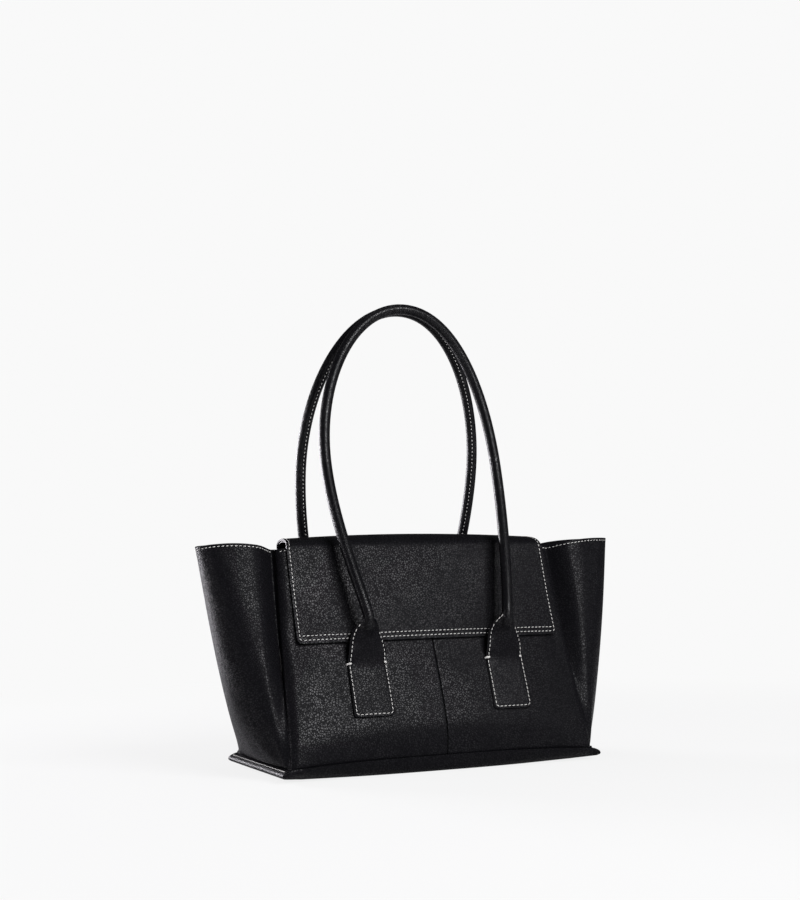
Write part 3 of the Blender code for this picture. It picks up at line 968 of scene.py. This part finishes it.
def bend_over_mouth(item):
    """The arch's placement is baked into its mesh; the ends of its bend, between the bag's back and the
    flap's foot on the mouth, are found but not used.
    """
    start = panel_point(BACK, 0, HINGE_HEIGHT - BEND_BELOW_MOUTH, FLAP_STACK)
    end = flap_point(0, BEND_UP_ARCH, FLAP_STACK)
    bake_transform(item)


def bend_down_front(item):
    """The front's placement is baked into its mesh; the ends of its bend across its middle are found but
    not used.
    """
    middle = 1 + FLAP_DROP / 2
    flap_point(0, middle - FLAP_BEND_REACH, 0)
    flap_point(0, middle + FLAP_BEND_REACH, 0)
    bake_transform(item)


# Straps, necks and handles

def neck_up(face):
    return Vector((0, face * math.sin(NECK_LEAN), math.cos(NECK_LEAN)))


def neck_out(face):
    return Vector((0, face * math.cos(NECK_LEAN), -math.sin(NECK_LEAN)))


def neck_base(face, x):
    standoff = CLEARANCE + TAB_THICKNESS - swell(0, TAB_TOP_HEIGHT)
    edge = panel_point(face, 0, TAB_TOP_HEIGHT, standoff)
    return edge + neck_up(face) * CLEARANCE - neck_out(face) * TAB_THICKNESS / 2 + Vector((x, 0, 0))


def strap_frame(face, x, along):
    """Centre and outward direction of a strap, from its sewn end at -TAB_LENGTH to its roll."""
    def flat(reach):
        return panel_point(face, x, TAB_TOP_HEIGHT + reach * math.cos(LEAN), TAB_THICKNESS / 2)

    def free(reach):
        bulge = swell(x, TAB_TOP_HEIGHT) * (1 - ease(reach, 0, NECK_LENGTH))
        return neck_base(face, x) + neck_up(face) * reach + panel_normal(face) * bulge
    if along <= -BEND_BELOW:
        return flat(along), panel_normal(face)
    if along >= BEND_ABOVE:
        return free(along), neck_out(face)
    share = (along + BEND_BELOW) / (BEND_BELOW + BEND_ABOVE)
    corner = flat(0).lerp(free(0), 0.5)
    centre = flat(-BEND_BELOW).lerp(corner, share).lerp(corner.lerp(free(BEND_ABOVE), share), share)
    return centre, panel_normal(face).lerp(neck_out(face), share).normalized()


def strap_half(along):
    """Half the strap's width: square below with round corners, drawn in to the roll above."""
    left = along + TAB_LENGTH
    if left < TAB_CORNER:
        turn = math.sqrt(max(0, TAB_CORNER ** 2 - (TAB_CORNER - left) ** 2))
        return TAB_WIDTH / 2 - TAB_CORNER + turn
    if along <= 0:
        return TAB_WIDTH / 2 - STRAP_TAPER * (1 + along / TAB_LENGTH)
    radius = HANDLE_DIAMETER / 2
    wider = TAB_WIDTH / 2 - STRAP_TAPER - radius
    return radius + wider * max(0, 1 - (along / ROLL_START) ** STRAP_CURVE)


def strap_curl(across, along):
    """How far the strap's flanks are drawn back round the cord."""
    flank = max(0, abs(across) - 0.7 * HANDLE_DIAMETER / 2)
    return STRAP_CURL * flank * ease(along, 0.008, 0.034)


def strap_place(face, x, along, across, through):
    """A point of the strap: its edges are held down where they are sewn, its middle is puffed up."""
    centre, out = strap_frame(face, x, along)
    held = (1 - ease(along, -0.001, 0.006)) * min(1, abs(across) / strap_half(along)) ** 4
    sewn = panel_point(face, x, TAB_TOP_HEIGHT + along * math.cos(LEAN), TAB_THICKNESS / 2)
    spot = centre + out * (through - strap_curl(across, along)) + (sewn - centre) * held
    return spot + Vector((across, 0, 0)), out


def strap_ring(face, x, along):
    """Once round the strap: flat where it is sewn down, drawn round the cord above."""
    half = strap_half(along)
    cord = ease(along, 0.020, 0.038) * HANDLE_DIAMETER / 2
    square = mix(0.55, 1, ease(along, 0, 0.02))
    ring = []
    for side in range(RING_COUNT):
        angle = 2 * math.pi * (side + 0.5) / RING_COUNT
        share = math.copysign(abs(math.cos(angle)) ** square, math.cos(angle))
        flat = 0.0015 * max(0.2, math.sqrt(1 - min(1, abs(share)) ** 10))
        bump = cord * math.sqrt(max(0, 1 - (share * half / (HANDLE_DIAMETER / 2)) ** 2))
        through = math.copysign(max(flat, bump), math.sin(angle))
        ring.append(strap_place(face, x, along, share * half, through)[0])
    return ring


def build_strap(name, face, x, nodes):
    sewn = -TAB_LENGTH + TAB_CORNER
    lengths = [-TAB_LENGTH + TAB_CORNER * s for s in (0.0, 0.06, 0.2, 0.4, 0.7, 1.0)]
    lengths += evenly(sewn, FINE_RINGS_FROM, 14)[1:] + evenly(FINE_RINGS_FROM, NECK_LENGTH, 30)[1:]
    strap = loft_piece(name, [strap_ring(face, x, along) for along in lengths], STRAP_FINISHES)
    centre, _ = strap_frame(face, x, 0)
    for polygon in strap.data.polygons:
        along = (polygon.center.z - centre.z) / math.cos(LEAN)
        edge = strap_half(along) - SEAM_STRIP
        if abs(polygon.center.x - x) > edge and along < NECK_LENGTH * 0.8:
            polygon.material_index = 1
    bend_neck(strap, face)
    stands_for(strap, "handle_leather", *nodes)


def bend_neck(item, face):
    """The strap's placement is baked into its mesh; the ends of its bend just above its sewn part are
    found but not used.
    """
    start, end = (strap_frame(face, 0, along)[0] for along in NECK_BEND)
    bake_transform(item)
    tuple(start)
    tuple(end)


def handle_centreline(face, count=34):
    """The handle's middle line, from its left root over the top to its right one."""
    spread, widest_y, slope = WIDEST[face]
    root = neck_base(face, TAB_SPACING / 2) + neck_up(face) * (NECK_LENGTH + CLEARANCE)
    leaving = root + neck_up(face) * HANDLE_DIAMETER / 2
    widest = Vector((spread / 2, widest_y, HANDLE_WIDEST_HEIGHT))
    rising = Vector((0, -face * slope, 1))
    apex_y = HANDLE_MEETING_Y + face * (HANDLE_DIAMETER + CLEARANCE) / 2
    apex = Vector((0, apex_y, HANDLE_HEIGHT - HANDLE_DIAMETER / 2))
    lower = interpolate_bezier(leaving, leaving + neck_up(face) * ROOT_PULL,
                               widest - rising * WIDEST_PULL_DOWN, widest, count)
    upper = interpolate_bezier(widest, widest + rising * WIDEST_PULL_UP,
                               apex + Vector((APEX_PULL, 0, 0)), apex, count)
    start = [root - neck_up(face) * CLEARANCE]
    start += [root.lerp(leaving, step / 5) for step in range(1, 5)]
    right = start + lower + upper[1:]
    left = [Vector((-p.x, p.y, p.z)) for p in right[:-1]]
    return left + right[::-1]


def handle_frames(face, line):
    """Each point of a handle with the direction of its seam and the one square to it."""
    frames = []
    for index, point in enumerate(line):
        ahead = line[min(index + 1, len(line) - 1)]
        behind = line[max(index - 1, 0)]
        tangent = (ahead - behind).normalized()
        inner = Vector((0, -face, 0))
        inner = (inner - tangent * inner.dot(tangent)).normalized()
        frames.append((point, inner, tangent.cross(inner)))
    return frames


def build_handle(name, face):
    """One handle with its thread, its cord and the two straps it grows out of."""
    necks, loop = name + "_necks", name + "_handle"
    frames = handle_frames(face, handle_centreline(face))
    roll = loft_piece(name + "_handle_roll", [roll_ring(face, *place) for place in frames],
                      ROLL_FINISHES)
    free = frames[ROOT_RINGS:-ROOT_RINGS]
    seam = []
    for index, (point, inner, side) in enumerate(free):
        out = around(inner, side, mix(*SEAM_TURN, index / (len(free) - 1)))
        seam.append((point + out * HANDLE_DIAMETER / 2, out))
    stitches = thread_row(name + "_handle_stitches", [seam], HANDLE_STITCH_LENGTH,
                          HANDLE_THREAD_WIDTH, HANDLE_STITCH_PITCH)
    cord = loft_piece(name + "_handle_cord", cord_rings(free), (CORD,))
    for item in (roll, stitches, cord):
        bend_root(item, face)
    stands_for(roll, "handle_leather", loop + "_sleeve")
    stands_for(cord, "cord", loop + "_core")
    for end, side in (("left", -1), ("right", 1)):
        x = side * TAB_SPACING / 2
        nodes = (f"{name}_handle_tab_{end}", f"{name}_handle_neck_{end}")
        build_strap(f"{name}_strap_{end}", face, x, nodes)
        build_strap_stitches(f"{name}_strap_stitches_{end}", face, x)
        build_bar_tacks(f"{name}_bar_tacks_{end}", face, x)


def cord_rings(frames):
    """Rings of a cord of three twisted strands."""
    rings = []
    travelled, before = 0, frames[0][0]
    for point, inner, side in frames:
        travelled += (point - before).length
        before = point
        ring = []
        for step in range(CORD_SIDES):
            angle = 2 * math.pi * step / CORD_SIDES
            lobe = abs(math.cos(1.5 * angle + travelled * CORD_TWIST))
            ring.append(point + around(inner, side, angle) * (CORD_RADIUS + CORD_LOBE * lobe))
        rings.append(ring)
    return rings


def roll_ring(face, point, inner, side):
    """Once round the roll, with a dip along its seam; near its roots it grows out of the strap."""
    root = neck_base(face, TAB_SPACING / 2)
    along = (Vector((root.x, point.y, point.z)) - root).dot(neck_up(face))
    if along < ROLL_START:
        centre, _ = strap_frame(face, 0, along)
        strap = [place - centre for place in strap_ring(face, 0, along)]
        if point.x > 0:
            turned = range(RING_COUNT // 2 - 1, RING_COUNT // 2 - 1 - RING_COUNT, -1)
            strap = [strap[index] for index in turned]
        return [point + place for place in strap]
    ring = []
    for index in range(RING_COUNT):
        angle = 2 * math.pi * (index + 0.5) / RING_COUNT
        reach = HANDLE_DIAMETER / 2 - ROLL_DIP * fading(angle - math.pi * 1.5, 0.16)
        ring.append(point - side * (math.cos(angle) * reach) - inner * (math.sin(angle) * reach))
    return ring


def bend_root(item, face):
    """The piece's placement is baked into its mesh; the start of the roll's bend where it leaves the
    neck is found but not used.
    """
    root = neck_base(face, 0) + neck_up(face) * (NECK_LENGTH - 0.001)
    root + neck_up(face) * ROOT_BEND
    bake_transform(item)


# Thread

@lru_cache(maxsize=None)
def stitch_model():
    """One stitch lying along X, its ends drawn down into their holes."""
    bpy.ops.object.select_all(action="DESELECT")
    bpy.ops.mesh.primitive_uv_sphere_add(segments=8, ring_count=6, radius=1)
    model = bpy.context.object
    turn = Matrix.Rotation(math.pi / 2, 4, "Y")
    points = []
    for vertex in model.data.vertices:
        place = turn @ vertex.co
        full = math.sqrt(max(0.0, 1 - abs(place.x) ** 3.2))
        sides = math.sqrt(max(0.0, 1 - place.x ** 2))
        fuller = full / sides if sides > 1e-3 else 0
        sunk = 0.45 * abs(place.x) ** 3
        points.append((place.x, place.y * fuller, place.z * fuller - sunk))
    faces = [tuple(polygon.vertices) for polygon in model.data.polygons]
    bpy.data.objects.remove(model, do_unlink=True)
    return points, faces


def thread_row(name, rows, length=STITCH_LENGTH, width=THREAD_WIDTH, pitch=STITCH_PITCH):
    """Stitches along rows of (point, outward direction), as one piece."""
    points, faces = stitch_model()
    vertices, polygons = [], []
    for row in rows:
        marks = [0.0]
        for (low, _), (high, _) in zip(row, row[1:]):
            marks.append(marks[-1] + (high - low).length)
        count = max(1, round(marks[-1] / pitch))
        index = 0
        for number in range(count):
            target = (number + 0.5) * marks[-1] / count
            while index < len(marks) - 2 and marks[index + 1] < target:
                index += 1
            share = (target - marks[index]) / max(1e-9, marks[index + 1] - marks[index])
            (start, start_out), (end, end_out) = row[index], row[index + 1]
            out = start_out.lerp(end_out, share).normalized()
            along = end - start
            along = (along - out * along.dot(out)).normalized()
            across = out.cross(along)
            slanted = (along + across * STITCH_SLANT).normalized()
            across = (across - along * STITCH_SLANT).normalized()
            centre = start.lerp(end, share) + out * STITCH_LIFT
            first = len(vertices)
            for x, y, z in points:
                spot = slanted * (x * length / 2) + across * (y * width / 2)
                vertices.append(centre + spot + out * (z * width * STITCH_HEIGHT))
            polygons += [tuple(first + corner for corner in face) for face in faces]
    return thread_piece(name, vertices, polygons)


def thread_piece(name, vertices, polygons):
    """One piece of thread from points and faces, its faces turned outwards."""
    data = bpy.data.meshes.new(name)
    data.from_pydata([tuple(vertex) for vertex in vertices], [], polygons)
    data.materials.append(THREAD)
    mesh = bmesh.new()
    mesh.from_mesh(data)
    bmesh.ops.recalc_face_normals(mesh, faces=mesh.faces)
    mesh.to_mesh(data)
    mesh.free()
    data.shade_smooth()
    return in_scene(name, data)


def wing_normal(side, share, across, outward):
    """Outward direction of a wing, by small steps along it."""
    step = 0.004
    rising = wing_point(side, min(1, share + step), across) - wing_point(side, share - step, across)
    ahead = wing_point(side, share, across + step) - wing_point(side, share, across - step)
    return outwards(rising.cross(ahead).normalized(), outward)


def build_wall_stitches():
    """The row just under the mouth's edge, all the way round, and the row along each lip."""
    rows = []
    share = 1 - EDGE_MARGIN / RISE
    half = half_length(1) - 0.003
    for face in (FRONT, BACK):
        rows.append([(wall_point(face, x, share), panel_normal(face))
                     for x in evenly(-half, half, 60)])
    for side in (-1, 1):
        row = []
        for across in evenly(WING_ROW_FROM, 1 - WING_ROW_FROM, 120):
            outward = Vector((side, 0, 0))
            if abs(across - 0.5) > 0.04:
                outward = Vector((side * 0.35, -1 if across < 0.5 else 1, 0))
            normal = wing_normal(side, share - 0.004, across, outward)
            row.append((wing_point(side, share, across), normal))
        rows.append(row)
    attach(thread_row("mouth_stitches", rows), "bag")
    lips = []
    for side in (-1, 1):
        x = side * (BASE_LENGTH / 2 + LIP_ROW_REACH)
        out = Vector((side * 0.5, 0, 1)).normalized()
        lips.append([(Vector((x, y, LIP_ROW_HEIGHT)), out)
                     for y in evenly(-LIP_ROW_HALF, LIP_ROW_HALF, 40)])
    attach(thread_row("lip_stitches", lips, LIP_STITCH_LENGTH, LIP_THREAD_WIDTH), "bag")


def flap_row(marks):
    """Points of the flap's outer face with their outward directions."""
    row = []
    for x, along in marks:
        arched = 0 < along <= 1
        step = 0.02 if 0 <= along <= 1 else 0.001
        ahead = flap_point(x, along + step, FLAP_STACK) - flap_point(x, along - step, FLAP_STACK)
        place = flap_point(x, along, FLAP_STACK)
        normal = Vector((1, 0, 0)).cross(ahead).normalized()
        outward = panel_normal(FRONT if along > 1 else BACK)
        if arched:
            outward = Vector((0, place.y * 20, 1))
        row.append((place, outwards(normal, outward)))
    return row


def build_flap_stitches():
    """A row along each side of the flap, two along its lower edge and one across the back strip."""
    half = FLAP_WIDTH / 2 - EDGE_MARGIN
    behind = half - FLAP_TAPER
    low = FLAP_DROP - FLAP_ROW_MARGIN
    corner = FLAP_STITCH_CORNER
    over, front = [], []
    for side in (-1, 1):
        marks = [(side * behind, along) for along in evenly(FLAP_STRIP_ROW, -0.0005, 8)]
        marks += [(side * (arch_half(s / 96) - EDGE_MARGIN), s / 96) for s in range(1, 97)]
        over.append(flap_row(marks + [(side * half, 1.0038)]))
        marks = [(side * half, 1 + down) for down in evenly(0.0042, low - corner, 30)]
        for step in range(1, 10):
            angle = math.radians(10 * step)
            marks.append((side * (half - corner + corner * math.cos(angle)),
                          1 + low - corner + corner * math.sin(angle)))
        front.append(flap_row(marks))
    for down, end in ((low, half - corner - 0.001), (low - FLAP_ROW_SPACING, half - 0.002)):
        front.append(flap_row([(x, 1 + down) for x in evenly(-end, end, 80)]))
    over.append(flap_row([(x, FLAP_STRIP_ROW) for x in evenly(-behind, behind, 60)]))
    bend_over_mouth(thread_row("flap_stitches_over_mouth", over))
    bend_down_front(thread_row("flap_stitches_front", front))


def build_strap_stitches(name, face, x):
    """The row round the tab and up both edges of the neck, and its end on the roll."""
    def spot(across, along):
        place, out = strap_place(face, x, along, across, STRAP_ROW_LIFT)
        tilt = math.copysign(min(STRAP_ROW_TILT, strap_curl(across, along) * 150), across)
        return place, (out + Vector((tilt, 0, 0))).normalized()
    low = -TAB_LENGTH + STRAP_MARGIN
    half = TAB_WIDTH / 2 - STRAP_MARGIN
    rows = []
    for side in (-1, 1):
        row = []
        for step in range(6):
            angle = math.radians(15 * step)
            row.append(spot(side * (half - STITCH_CORNER * (1 - math.sin(angle))),
                            low + STITCH_CORNER * (1 - math.cos(angle))))
        row += [spot(side * half, along) for along in evenly(low + STITCH_CORNER, 0, 16)]
        reach = NECK_LENGTH * 0.98 if side < 0 else SHORT_ROW_REACH
        row += [spot(side * edge_row(reach * s / 14), reach * s / 14) for s in range(1, 15)]
        rows.append(row)
    end = half - STITCH_CORNER
    rows.append([spot(across, low) for across in evenly(-end, end, 16)])
    bend_neck(thread_row(name, rows, STRAP_STITCH_LENGTH), face)
    top = ROLL_START if x > 0 else LEFT_ROW_TOP
    row = [spot(-edge_row(along), along) for along in evenly(NECK_LENGTH + 0.001, top, 6)]
    top_row = thread_row(name + "_top", [row], STRAP_STITCH_LENGTH)
    bend_root(top_row, face)


def edge_row(along):
    """How far from the strap's middle its stitches run above the sewn part."""
    return strap_half(along) - mix(*ROW_MARGINS, ease(along, 0.018, ROLL_START))


def build_bar_tacks(name, face, x):
    """Three thick turns of thread over each edge of the tab, where the sewing stops."""
    vertices, polygons = [], []
    for side in (-1, 1):
        edge = x + side * (TAB_WIDTH / 2 - STRAP_TAPER)
        for turn in (-1, 0, 1):
            height = TAB_TOP_HEIGHT - TACK_DROP + turn * TACK_SPACING
            points, faces = thread_tube([panel_point(face, edge + side * reach, height, rise)
                                         for reach, rise in TACK_PATH])
            first = len(vertices)
            vertices += points
            polygons += [tuple(first + corner for corner in loop) for loop in faces]
    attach(thread_piece(name, vertices, polygons), "bag")


def thread_tube(path):
    """A closed tube of thread along a path."""
    points, faces = [], []
    first = None
    for index, place in enumerate(path):
        ahead, behind = path[min(index + 1, len(path) - 1)], path[max(index - 1, 0)]
        tangent = (ahead - behind).normalized()
        start = first or tangent.orthogonal()
        first = (start - tangent * start.dot(tangent)).normalized()
        second = tangent.cross(first)
        for step in range(TUBE_SIDES):
            angle = 2 * math.pi * step / TUBE_SIDES
            points.append(place + around(first, second, angle) * TACK_RADIUS)
    for low in range(0, len(points) - TUBE_SIDES, TUBE_SIDES):
        for step in range(TUBE_SIDES):
            a, b = low + step, low + (step + 1) % TUBE_SIDES
            faces.append((a, b, b + TUBE_SIDES, a + TUBE_SIDES))
    faces.append(tuple(range(TUBE_SIDES)))
    faces.append(tuple(range(len(points) - TUBE_SIDES, len(points))))
    return points, faces


build_base()
build_walls()
build_facings()
build_lining()
build_flap()
build_handle("front", FRONT)
build_handle("back", BACK)
build_wall_stitches()
build_flap_stitches()


# Studio

BACKDROP = 0.947
FLOOR_GLOW = 0.955
FLOOR_SHARE = 0.86
FLOOR_NEAR = 0.35
FLOOR_FAR = 1.3
FILL_LIGHT = 0.06
LIT_POINT = Vector((0, 0, 0.13))
LAMP_DISTANCE = 2.6
COOL_WHITE = (0.98, 0.98, 1.0)
VIOLET_WHITE = (0.97, 0.94, 1.0)
SOFTBOXES = (("key softbox", 13, 28, (1.4, 1.1), 74, COOL_WHITE),
             ("right strip", 62, 18, (0.3, 1.0), 3, COOL_WHITE),
             ("left softbox", -100, 12, (1.8, 1.0), 18, VIOLET_WHITE),
             ("back left softbox", -150, 9, (1.2, 0.7), 95, VIOLET_WHITE),
             ("top softbox", 0, 88, (1.2, 1.2), 4, COOL_WHITE))
CAMERA_AZIMUTH = -23.54
CAMERA_TILT = -5.20
CAMERA_ROLL = -1.32
CAMERA_LENS = 65.70
CAMERA_AIM = Vector((0, 0, 0.2365))
CAMERA_BEARING = (-23.77, -2.07)
CAMERA_DISTANCE = 1.50788


def direction(azimuth, elevation):
    a, e = math.radians(azimuth), math.radians(elevation)
    return Vector((math.sin(a) * math.cos(e), -math.cos(a) * math.cos(e), math.sin(e)))


def soft_light(name, azimuth, elevation, size, power, colour):
    """A softbox in the direction of this azimuth and elevation, turned to the bag."""
    data = bpy.data.lights.new(name, "AREA")
    data.shape = "RECTANGLE"
    data.size, data.size_y = size
    data.energy = power
    data.color = colour
    lamp = in_scene(name, data)
    away = direction(azimuth, elevation)
    lamp.location = LIT_POINT + away * LAMP_DISTANCE
    lamp.rotation_euler = away.to_track_quat("Z", "Y").to_euler()
    lamp.visible_camera = False


def build_floor():
    """A pale floor that takes the bag's shadow and fades into the backdrop around it."""
    bpy.ops.object.select_all(action="DESELECT")
    bpy.ops.mesh.primitive_plane_add(size=12, location=(0, 0, -0.0002))
    floor = bpy.context.object
    floor.name = "studio_floor"
    finish = Finish("studio floor", ior=1.45, sheen=0.1)
    finish.shader.inputs["Base Color"].default_value = (0.90, 0.90, 0.90, 1)
    finish.shader.inputs["Roughness"].default_value = 0.9
    away = finish.node("ShaderNodeVectorMath", {"operation": "LENGTH"}, {0: finish.place}, 1)
    far = map_range(finish, away, FLOOR_NEAR, FLOOR_FAR)
    seen = finish.node("ShaderNodeLightPath", {}, {})
    glow = finish.blend_colours(far, (FLOOR_GLOW,) * 3, (BACKDROP,) * 3)
    glow = finish.node("ShaderNodeEmission", {}, {"Color": glow})
    share = seen * (far * (1 - FLOOR_SHARE) + FLOOR_SHARE)
    surface = finish.node("ShaderNodeMixShader", {}, {0: share})
    finish.tree.links.new(finish.shader.outputs[0], surface.socket.node.inputs[1])
    finish.tree.links.new(glow.socket, surface.socket.node.inputs[2])
    finish.tree.links.new(surface.socket, finish.tree.nodes["Material Output"].inputs["Surface"])
    floor.data.materials.append(finish.material)


def build_world():
    world = bpy.data.worlds.new("studio")
    bpy.context.scene.world = world
    world.use_nodes = True
    tree = world.node_tree
    light = tree.nodes["Background"]
    light.inputs["Color"].default_value = (1, 1, 1, 1)
    light.inputs["Strength"].default_value = FILL_LIGHT
    backdrop = tree.nodes.new("ShaderNodeBackground")
    backdrop.inputs["Color"].default_value = (BACKDROP, BACKDROP, BACKDROP, 1)
    path = tree.nodes.new("ShaderNodeLightPath")
    share = tree.nodes.new("ShaderNodeMixShader")
    tree.links.new(path.outputs["Is Camera Ray"], share.inputs[0])
    tree.links.new(light.outputs[0], share.inputs[1])
    tree.links.new(backdrop.outputs[0], share.inputs[2])
    tree.links.new(share.outputs[0], tree.nodes["World Output"].inputs["Surface"])


def build_camera():
    """The camera that was fitted to the photograph."""
    back = direction(CAMERA_AZIMUTH, CAMERA_TILT)
    turn, roll = math.radians(CAMERA_AZIMUTH), math.radians(CAMERA_ROLL)
    level = Vector((math.cos(turn), math.sin(turn), 0))
    upright = back.cross(level)
    right, up = around(level, upright, roll), around(upright, -level, roll)
    data = bpy.data.cameras.new("camera")
    data.lens = CAMERA_LENS
    data.sensor_width = 36
    data.sensor_fit = "HORIZONTAL"
    camera = in_scene("camera", data)
    place = CAMERA_AIM + direction(*CAMERA_BEARING) * CAMERA_DISTANCE
    turned = Matrix((right, up, back)).transposed().to_4x4()
    camera.matrix_world = Matrix.Translation(place) @ turned
    bpy.context.scene.camera = camera


build_floor()
build_world()
build_camera()
for softbox in SOFTBOXES:
    soft_light(*softbox)
bpy.context.scene.view_settings.view_transform = "Standard"
